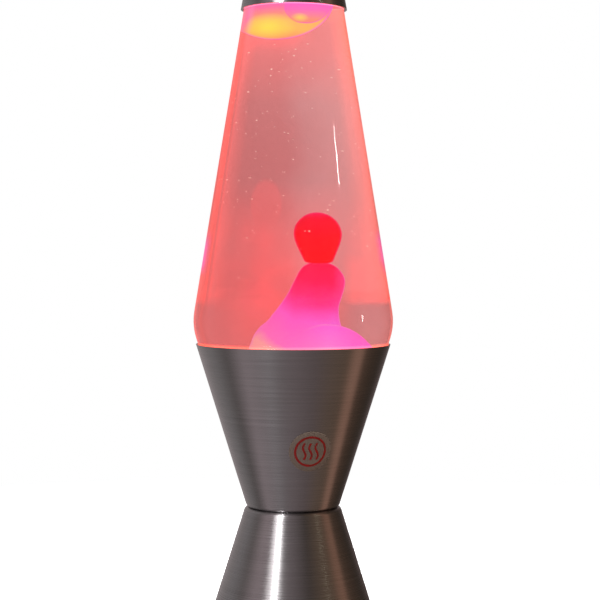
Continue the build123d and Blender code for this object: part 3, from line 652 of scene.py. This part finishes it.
def held_in(bm, top_z):
    """Keeps every point of some wax inside the bore and below a height."""
    for v in bm.verts:
        z = min(v.co.z / MM, top_z)
        r = math.hypot(v.co.x, v.co.y) / MM
        limit = radius_at(bed, max(z, floor_z + WAX_GAP))
        if r > limit:
            v.co.x *= limit / r
            v.co.y *= limit / r
        v.co.z = max(z, floor_z + WAX_GAP) * MM


def between(a, b, c, d, t):
    """A smooth value from b to c, at t from 0 to 1, with a and d as the values on either side."""
    bend = (2 * a - 5 * b + 4 * c - d) * t * t
    return 0.5 * (2 * b + (c - a) * t + bend + (3 * b - a - 3 * c + d) * t ** 3)


SECTION_STEPS = 6  # levels from one given section to the next
SECTION_SIDES = 96


def stacked(bm, sections):
    """A closed body, smooth through level ellipses (height, centre x, centre y, radius x, radius y)."""
    last = len(sections) - 1
    levels = []
    for i in range(last):
        quad = [sections[max(0, i - 1)], sections[i], sections[i + 1], sections[min(last, i + 2)]]
        for k in range(SECTION_STEPS + (1 if i == last - 1 else 0)):
            levels.append([between(*values, k / SECTION_STEPS) for values in zip(*quad)])
    rings = []
    for z, cx, cy, rx, ry in levels:
        ring = []
        for angle in round_angles(SECTION_SIDES):
            x = cx + rx * math.cos(angle)
            y = cy + ry * math.sin(angle)
            ring.append(bm.verts.new((x * MM, y * MM, z * MM)))
        rings.append(ring)
    join_rings(bm, rings)
    bm.faces.new(rings[0][::-1])
    bm.faces.new(rings[-1])


bm = bmesh.new()
pool_z = 156.0
pool = [p for p in bed if p[1] < pool_z - 4]
pool_r = radius_at(bed, pool_z)
pool += [(pool_r - 0.6, pool_z - 3), (pool_r - 3, pool_z), (0, pool_z + 1)]
lathe(bm, pool, turn=160, closed=False)
stacked(
    bm,
    [
        (150, 1, 0, 38, 37), (166, 2, 0, 33, 32), (182, 3, 0, 26.5, 26), (194, 3.6, 0, 22.4, 22),
        (201, 2.6, 0.5, 20.2, 19), (206, 4.6, 1, 15.8, 15.5), (213, 6.7, 1, 13.3, 13),
        (221, 9.7, 0.5, 12.2, 12.2), (228.5, 11.6, 0, 11.3, 11.3), (234.2, 11.6, 0, 9.0, 9.2),
        (237.4, 11.3, 0, 6.4, 6.8), (239.2, 11.2, 0, 2.5, 2.5),
    ],
)
blob(bm, (16.0, -15, 181), (27.8, 20, 24.6), ripple=0.5, seed=2.0)
blob(bm, (-8.3, 2, 193.6), (11.2, 13, 12.4), ripple=0.4, seed=4.0)
blob(bm, (-4, 10, 176), (26, 22, 22), ripple=1.0, seed=5.0)
piece(
    "wax_pool_and_column", bm, COLUMN_WAX, "globe", ["wax_column"], sharp=180,
    modifiers=[
        ("REMESH", {"mode": "VOXEL", "voxel_size": 0.0011}),
        ("SMOOTH", {"factor": 0.6, "iterations": 6}),
    ],
)

bm = bmesh.new()
BLOB_X, BLOB_Z, BLOB_R, BLOB_RISE = 10.6, 254.6, 10.7, 13.0
head = []
for k in range(21):
    t = math.pi * k / 40
    head.append((BLOB_R * math.sin(t), BLOB_Z + BLOB_RISE * math.cos(t)))
neck = [
    (10.45, 252.0), (9.6, 248.8), (8.5, 245.6), (7.6, 243.0), (7.0, 241.4), (6.6, 240.0), (6.3, 238.9),
    (4.8, 238.2), (2.5, 237.9), (0, 237.8),
]
lathe(bm, head + neck, turn=96, centre=(BLOB_X, 0), closed=False)
for v in bm.verts:
    v.co.x += (255.0 - v.co.z / MM) * 0.03 * MM
piece("rising_wax_blob", bm, BLOB_WAX, "rising_wax", ["wax_blob"], sharp=180,
      modifiers=[("SMOOTH", {"factor": 0.5, "iterations": 4})])

bm = bmesh.new()
blob(bm, (-6.9, 3, 391.4), (23.2, 20, 24.0), subdivisions=6, ripple=0.3, seed=1.0)
held_in(bm, LIQUID_TOP_Z - 0.3)
piece("top_wax_mass", bm, TOP_WAX, "globe", ["wax_top_mass"], sharp=180)
bm = bmesh.new()
blob(bm, (4.1, -8.6, 388.0), (13.4, 10, 12.0), subdivisions=6, ripple=0.6, seed=3.0)
held_in(bm, LIQUID_TOP_Z - 0.3)
piece("top_wax_blob", bm, TOP_BLOB_WAX, "globe", ["wax_top_blob"], sharp=180)

# ---------------------------------------------------------------- specks that float in the liquid
random.seed(7)
bm = bmesh.new()
for _ in range(150):
    while True:
        z = random.uniform(208, 366)
        limit = radius_at(bed, z) - 3
        r, turn = limit * math.sqrt(random.random()), random.uniform(0, 2 * math.pi)
        x, y = r * math.cos(turn), r * math.sin(turn)
        if math.hypot(x - 10.9, y) > 14.5 and (z > 246 or x < -20):
            break
    size = random.choice((0.18, 0.24, 0.30, 0.42)) * random.uniform(0.8, 1.25)
    blob(bm, (x, y, z), (size * 1.2, size, size * 0.8), subdivisions=1)
# The specks glow with painted light, paler higher up.
SPECK = wax("speck_wax", by_height(200, 370), [(0.0, through(255, 150, 140)), (1.0, through(255, 190, 180))])
piece("floating_specks", bm, SPECK, "globe", sharp=180)

# ---------------------------------------------------------------- round label, wrapped on the cup
LABEL_Z, LABEL_TURN, LABEL_R = 134.6, math.radians(15), 12.3
APEX_Z = WAIST_Z - UPPER_WAIST_R / UPPER_SLOPE
LEAN = math.atan(UPPER_SLOPE)


def on_cup(u, v, lift):
    """A point u to the right and v up from the label's centre on the unrolled cup, lift off the metal."""
    run = (LABEL_Z - APEX_Z) / math.cos(LEAN) + v
    along, turn = math.hypot(u, run), LABEL_TURN + math.atan2(u, run) / math.sin(LEAN)
    r = along * math.sin(LEAN) + lift * math.cos(LEAN)
    z = APEX_Z + along * math.cos(LEAN) - lift * math.sin(LEAN)
    return Vector((r * math.sin(turn), -r * math.cos(turn), z)) * MM


def ribbon(bm, points, widths, low, high, closed=False):
    """A flat printed or cut line on the cup, through points (u, v)."""
    points = [Vector(p) for p in points]
    rows = []
    for i, p in enumerate(points):
        a = points[i - 1] if closed or i else p
        b = points[(i + 1) % len(points)] if closed or i < len(points) - 1 else p
        side = Vector((-(b - a).y, (b - a).x)).normalized() * widths / 2
        rows.append([bm.verts.new(on_cup(*q, lift)) for q in (p - side, p + side) for lift in (low, high)])
    pairs = list(zip(rows, rows[1:])) + ([(rows[-1], rows[0])] if closed else [])
    for (a, b, c, d), (e, f, g, h) in pairs:
        for face in ((b, d, h, f), (a, e, g, c), (a, b, f, e), (c, g, h, d)):
            bm.faces.new(face)
    if not closed:
        for a, b, c, d in (rows[0], rows[-1]):
            bm.faces.new((a, b, d, c))


def label_film():
    """Clear film gone slightly beige, with the metal showing through it."""
    s = Shader("label_film")
    fibre = s.noise(700.0, 3.0)
    s.principled(
        Base_Color=s.mix(s.span(fibre, 0.3, 0.7), rgb(150, 134, 120), rgb(162, 147, 132)), Roughness=0.42,
        Alpha=0.72, Normal=s.bump(fibre, 0.15, 0.0002),
    )
    return s.material


def label_ink():
    s = Shader("label_ink")
    wear = s.noise(420.0, 4.0)
    s.principled(
        Base_Color=s.mix(s.span(wear, 0.45, 0.75), rgb(168, 22, 18), rgb(136, 34, 28)), Roughness=0.5,
        Normal=s.bump(wear, 0.1, 0.0001),
    )
    return s.material


LABEL_SIDES = 96
FILM_TOP, FILM_EDGE = 0.17, 0.11
bm = bmesh.new()
rings = []
for share in (0.02, 0.25, 0.5, 0.75, 0.97, 1.0):
    ring = []
    for angle in round_angles(LABEL_SIDES):
        u, v = LABEL_R * share * math.cos(angle), LABEL_R * share * math.sin(angle)
        ring.append(bm.verts.new(on_cup(u, v, FILM_TOP if share < 1 else FILM_EDGE)))
    rings.append(ring)
join_rings(bm, rings)
bm.faces.new(rings[0])
piece("care_label_film", bm, label_film(), "base", ["care_label"], sharp=60)
INK = (0.15, 0.20)  # the ink's underside and top, off the metal
RING_R, RING_WIDTH = 8.7, 1.25
WAVE_STEPS, WAVE_SWING, WAVE_HEIGHT, WAVE_WIDTH = 28, 0.95, 10.0, 1.15
bm = bmesh.new()
ring = [(RING_R * math.cos(angle), RING_R * math.sin(angle)) for angle in round_angles(LABEL_SIDES)]
ribbon(bm, ring, RING_WIDTH, *INK, closed=True)
for x in (-3.6, 0.0, 3.6):
    wave = []
    for k in range(WAVE_STEPS + 1):
        u = x + WAVE_SWING * math.sin(2 * math.pi * k / WAVE_STEPS)
        wave.append((u, -WAVE_HEIGHT / 2 + WAVE_HEIGHT * k / WAVE_STEPS))
    ribbon(bm, wave, WAVE_WIDTH, *INK)
piece("care_label_heat_mark", bm, label_ink(), "base", sharp=60)

# ---------------------------------------------------------------- crown cap with its flutes
CROWN_TOP = MOUTH_Z + 1.2
CROWN_SHEET = 0.28
FLUTES = 21
crown_out = rounded([(0, CROWN_TOP), (13.6, CROWN_TOP, 1.9), (15.0, CROWN_TOP - 6.1)])
skirt = [(14.4 + 0.6 * t, CROWN_TOP - 2.4 - 3.7 * t) for t in (0, 0.2, 0.4, 0.6, 0.8, 1.0)]
crown_out = crown_out[:-1] + skirt
crown_in = []
for r, z in crown_out:
    crown_in.append((max(0.0, r - CROWN_SHEET), z - CROWN_SHEET if z > CROWN_TOP - 2 else z))
crown_in[0] = (0, CROWN_TOP - CROWN_SHEET)


def flute(angle, r, z):
    depth = max(0.0, min(1.0, (CROWN_TOP - 1.4 - z) / 4.0))
    return r + depth * 0.75 * (abs(math.sin(FLUTES / 2 * angle)) ** 0.8 - 0.35)


bm = bmesh.new()
lathe(bm, crown_out + crown_in[::-1], turn=252, closed=False, shape=flute)
piece("fluted_crown_cap", bm, TINPLATE, "globe", ["crown_cap"], sharp=50)

# ---------------------------------------------------------------- bulb: thread and filament; holder: thread
PITCH = 2.822
THREAD_ROOT_R, THREAD_R = 7.62, 8.30
SHELL_LOW, SHELL_HIGH = 33.1, 46.6


def rolled(low, high, amount):
    """Radius change of a rolled screw thread, fading out at both ends."""

    def change(angle, r, z):
        fade = max(0.0, min(1.0, (z - low) / PITCH, (high - z) / PITCH))
        return r + amount * fade * (0.5 + 0.5 * math.cos(2 * math.pi * z / PITCH - angle))

    return change


BASE_SHEET = 0.3
steps = 72
skin = [(6.5, SHELL_LOW - 1.1), (7.0, SHELL_LOW - 0.6)]
skin += [(THREAD_ROOT_R, SHELL_LOW + (SHELL_HIGH - SHELL_LOW) * k / steps) for k in range(steps + 1)]
skin += [
    (8.0, SHELL_HIGH + 0.3), (THREAD_R, SHELL_HIGH + 0.8),
    (THREAD_R, SHELL_HIGH + 3.4), (8.1, SHELL_HIGH + 4.0),
]
lining = [(r - BASE_SHEET, z) for r, z in skin]
bm = bmesh.new()
lathe(bm, skin + lining[::-1], turn=96, shape=rolled(SHELL_LOW, SHELL_HIGH, THREAD_R - THREAD_ROOT_R))
piece("bulb_threaded_base", bm, BULB_METAL, "bulb", ["bulb_screw_shell"], sharp=60)

low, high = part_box("socket_screw_shell")
top = high.z / MM
low_z = low.z / MM
bore = [(8.68, low_z + 0.6 + (top - low_z - 0.6) * k / 84) for k in range(85)]
body = [(9.0, z) for _, z in bore]
bm = bmesh.new()
lathe(bm, [(7.5, low_z + 0.6)] + bore + [(9.3, top)] + body[::-1] + [(9.3, low_z), (7.5, low_z)], turn=96,
      shape=rolled(low_z + 2, top - 1, 0.28))
piece("holder_threaded_shell", bm, BRASS, "base", ["socket_screw_shell"], sharp=60)

low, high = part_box("bulb_filament")
mid = (low + high) / 2 / MM
COIL_TURNS, COIL_STEPS, COIL_R, COIL_WIRE_R = 30, 12, 0.36, 0.07
coil = []
for k in range(COIL_TURNS * COIL_STEPS + 1):
    t = k / (COIL_TURNS * COIL_STEPS)
    a = 2 * math.pi * COIL_TURNS * t
    sag = 0.25 * math.sin(math.pi * t)
    x = low.x / MM + 0.1 + (high.x - low.x - 0.0002) / MM * t
    coil.append((x, mid.y + COIL_R * math.cos(a), mid.z - sag * 0.2 + COIL_R * math.sin(a)))
bm = bmesh.new()
tube(bm, coil, COIL_WIRE_R, sides=6)
piece("coiled_filament", bm, TUNGSTEN, "bulb", ["bulb_filament"], sharp=80)

# ---------------------------------------------------------------- stage, light and camera
# The share of light that the brushed metal sends back.
METAL_LIGHT = 0.37
# What the metal reflects round the lamp: degrees from the front, positive towards +X, then the sRGB seen
# on metal that leans down to the floor, then the sRGB seen on metal that leans up.
ROOM = [
    (-180, (100, 92, 92), (100, 92, 92)),
    (-152, (109, 102, 103), (104, 99, 99)),
    (-132, (101, 97, 97), (102, 97, 97)),
    (-114, (88, 85, 84), (99, 96, 97)),
    (-88, (60, 56, 55), (80, 75, 74)),
    (-64, (107, 100, 102), (118, 107, 109)),
    (-30, (88, 84, 86), (90, 84, 85)),
    (0, (92, 83, 84), (84, 77, 78)),
    (29, (96, 85, 86), (51, 46, 43)),
    (52, (82, 70, 65), (72, 60, 50)),
    (72, (68, 57, 49), (74, 61, 50)),
    (80, (118, 92, 79), (100, 74, 61)),
    (91, (138, 105, 91), (108, 80, 66)),
    (97, (66, 50, 42), (62, 49, 40)),
    (116, (49, 39, 33), (50, 40, 33)),
    (134, (41, 35, 31), (42, 36, 31)),
    (156, (64, 56, 55), (58, 49, 46)),
]


def room_tone(s, vector):
    """The dim room in a direction from the lamp, for reflections."""
    x, y, z = s.node("ShaderNodeSeparateXYZ", {"Vector": vector}).outputs
    turn = s.span(s.maths("ARCTAN2", x, s.maths("MULTIPLY", y, -1.0)), -math.pi, math.pi)
    tones = []
    for side in (1, 2):
        stops = [((row[0] + 180) / 360, tuple(c / METAL_LIGHT for c in rgb(*row[side]))) for row in ROOM]
        tones.append(s.ramp(turn, stops + [(1.0, stops[0][1])]))
    return s.mix(s.span(z, -0.12, 0.12), *tones)


THROUGH_HIGH, THROUGH_LOW = (1.20, 0.86, 0.86), (1.06, 0.80, 0.80)  # backdrop seen through the globe


def white_floor():
    """Pale and lit where the lamp stands, fading to plain white; a dim room's floor in reflections."""
    s = Shader("floor_white")
    path = s.node("ShaderNodeLightPath")
    away = s.node("ShaderNodeVectorMath", {0: s.place()}, operation="LENGTH").outputs["Value"]
    lit = s.node("ShaderNodeBsdfDiffuse", {"Color": (0.9, 0.9, 0.9, 1)})
    white = s.node("ShaderNodeEmission", {"Color": (1, 1, 1, 1), "Strength": 1.0})
    seen = s.node("ShaderNodeMixShader", {0: s.span(away, 0.25, 0.8), 1: lit.outputs[0], 2: white.outputs[0]})
    level = tuple((a + b) / 2 for a, b in zip(THROUGH_LOW, THROUGH_HIGH))
    behind = s.mix(s.span(away, 0.1, 4.0), THROUGH_LOW, level)
    tone = s.mix(path.outputs["Is Transmission Ray"], room_tone(s, s.place()), behind)
    dim = s.node("ShaderNodeEmission", {"Color": tone, "Strength": 1.0})
    to_eye = path.outputs["Is Camera Ray"]
    both = s.node("ShaderNodeMixShader", {0: to_eye, 1: dim.outputs[0], 2: seen.outputs[0]})
    s.tree.links.new(both.outputs[0], s.out.inputs["Surface"])
    return s.material


bm = bmesh.new()
bmesh.ops.create_circle(bm, cap_ends=True, segments=96, radius=6.0)
mesh = bpy.data.meshes.new("floor")
bm.to_mesh(mesh)
bm.free()
floor = bpy.data.objects.new("floor", mesh)
scene.collection.objects.link(floor)
mesh.materials.append(white_floor())


def studio_world():
    """White to the eye; to reflections a dim room, and to light through the globe a paler one."""
    world = bpy.data.worlds.new("studio")
    world.use_nodes = True
    tree = world.node_tree
    tree.nodes.clear()
    s = Shader.__new__(Shader)
    s.tree = tree
    out = tree.nodes.new("ShaderNodeOutputWorld")
    direction = s.node("ShaderNodeTexCoord").outputs["Generated"]
    z = s.node("ShaderNodeSeparateXYZ", {"Vector": direction}).outputs["Z"]
    path = s.node("ShaderNodeLightPath")
    behind = s.mix(s.span(z, -0.5, 0.5), THROUGH_LOW, THROUGH_HIGH)
    dim = s.mix(path.outputs["Is Transmission Ray"], room_tone(s, direction), behind)
    colour = s.mix(path.outputs["Is Camera Ray"], dim, (1.0, 1.0, 1.0))
    background = s.node("ShaderNodeBackground", {"Color": colour, "Strength": 1.0})
    tree.links.new(background.outputs[0], out.inputs["Surface"])
    scene.world = world


studio_world()

metal_only = bpy.data.collections.new("metal_only")
for name in ("lower_cone", "upper_cone", "top_cap"):
    metal_only.objects.link(NODES[name])
glass_only = bpy.data.collections.new("glass_only")
glass_only.objects.link(glass)


def area_light(name, place, target, size, power, colour=(1, 1, 1), glossy=True, only=None):
    data = bpy.data.lights.new(name, "AREA")
    data.shape = "RECTANGLE"
    data.size, data.size_y = size
    data.energy = power
    data.color = colour
    obj = bpy.data.objects.new(name, data)
    scene.collection.objects.link(obj)
    obj.location = place
    obj.rotation_euler = (Vector(target) - Vector(place)).to_track_quat("-Z", "Y").to_euler()
    obj.visible_glossy = glossy
    obj.visible_camera = False
    obj.visible_transmission = False
    if only:
        obj.light_linking.receiver_collection = only


def at(azimuth, distance, height):
    """A place round the lamp: azimuth in degrees from the front, positive towards +X."""
    turn = math.radians(azimuth)
    return (distance * math.sin(turn), -distance * math.cos(turn), height)


area_light("overhead", (0.0, -0.3, 2.6), (0, 0, 0), (3.0, 3.0), 260, glossy=False)
BASE_AIM = (0, 0, 0.1)
WARM, PALE_GOLD = (1.0, 0.95, 0.92), (1.0, 0.95, 0.72)
area_light("left_strip", at(-31, 2.0, 1.55), BASE_AIM, (0.15, 1.1), 20, only=metal_only)
area_light("left_halo", at(-38, 2.0, 1.55), BASE_AIM, (0.60, 1.1), 8.0, (1.0, 0.97, 0.98), only=metal_only)
area_light("right_sliver", at(64, 1.9, 1.40), BASE_AIM, (0.02, 0.45), 0.25, PALE_GOLD, only=metal_only)
area_light("right_glint", at(71, 1.9, 0.921), (0, 0, 0.25), (0.05, 0.13), 1.6, WARM, only=glass_only)
area_light("low_glint", at(85, 1.9, 0.335), (0, 0, 0.22), (0.045, 0.30), 1.5, WARM, only=glass_only)

CAMERA_PLACE = (0.0039, -0.940, 0.249)
CAMERA_LENS = 96.7
CAMERA_TILT, CAMERA_ROLL = 1.85, -0.12  # degrees; tilted down
camera_data = bpy.data.cameras.new("camera")
camera_data.lens = CAMERA_LENS
camera_data.sensor_width = 36.0
camera = bpy.data.objects.new("camera", camera_data)
scene.collection.objects.link(camera)
camera.location = CAMERA_PLACE
camera.rotation_euler = (math.radians(90 - CAMERA_TILT), 0, 0)
camera.rotation_euler.rotate_axis("Z", math.radians(-CAMERA_ROLL))
scene.camera = camera
scene.view_settings.view_transform = "Standard"
